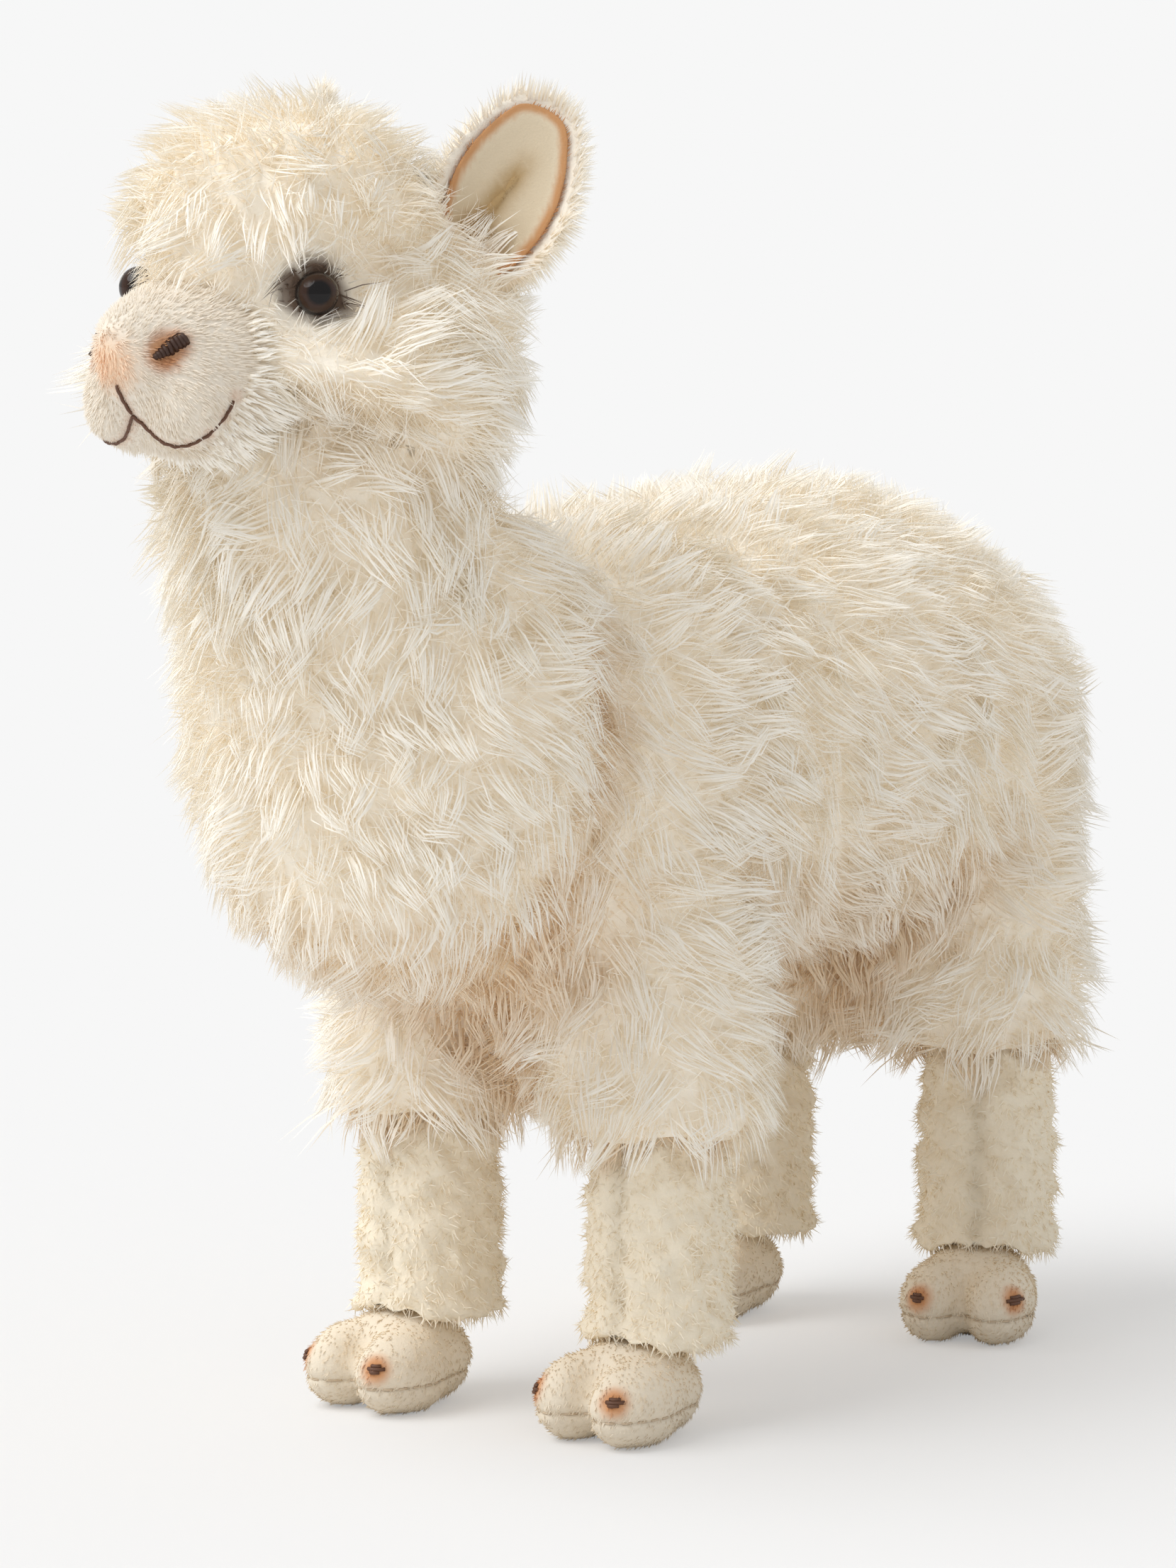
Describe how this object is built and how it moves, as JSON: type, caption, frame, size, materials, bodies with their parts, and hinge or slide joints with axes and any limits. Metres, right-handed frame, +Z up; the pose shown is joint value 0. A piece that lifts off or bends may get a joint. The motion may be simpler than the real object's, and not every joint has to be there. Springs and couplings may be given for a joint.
{
  "type": "alpaca soft toy",
  "caption": "Standing stuffed alpaca in long-pile fleece, with a short-plush muzzle, upright ears, short-pile leg sleeves and two-toed feet.",
  "frame": {"origin": "on the floor under the middle of the toy's box", "axes": "+Z up, -Y the way the toy faces, +X its left side"},
  "size_m": [0.133, 0.3632, 0.3159],
  "materials": {
    "long_pile_fleece": "long pile in locks",
    "short_plush": "short plush",
    "sleeve_pile": "short woolly pile",
    "foot_velboa": "very short nap",
    "brown_thread": "embroidery thread",
    "eye_plastic": "polished",
    "washer_plastic": "moulded"
  },
  "bodies": {
    "root": {"body_fleece": "long_pile_fleece", "neck_fleece": "long_pile_fleece", "head_fleece": "long_pile_fleece", "topknot": "long_pile_fleece", "tail": "long_pile_fleece", "ear_left": "long_pile_fleece", "ear_right": "long_pile_fleece", "ear_lining_left": "short_plush", "ear_lining_right": "short_plush", "muzzle": "short_plush", "mouth_stitch": "brown_thread", "lip_stitch": "brown_thread", "nostril_left": "brown_thread", "nostril_right": "brown_thread", "eye_left": "eye_plastic", "eye_right": "eye_plastic", "eye_washer_left": "washer_plastic", "eye_washer_right": "washer_plastic", "lower_leg_front_left": "sleeve_pile", "foot_front_left": "foot_velboa", "sole_front_left": "foot_velboa", "lower_leg_front_right": "sleeve_pile", "foot_front_right": "foot_velboa", "sole_front_right": "foot_velboa", "lower_leg_rear_left": "sleeve_pile", "foot_rear_left": "foot_velboa", "sole_rear_left": "foot_velboa", "lower_leg_rear_right": "sleeve_pile", "foot_rear_right": "foot_velboa", "sole_rear_right": "foot_velboa"}
  },
  "joints": []
}
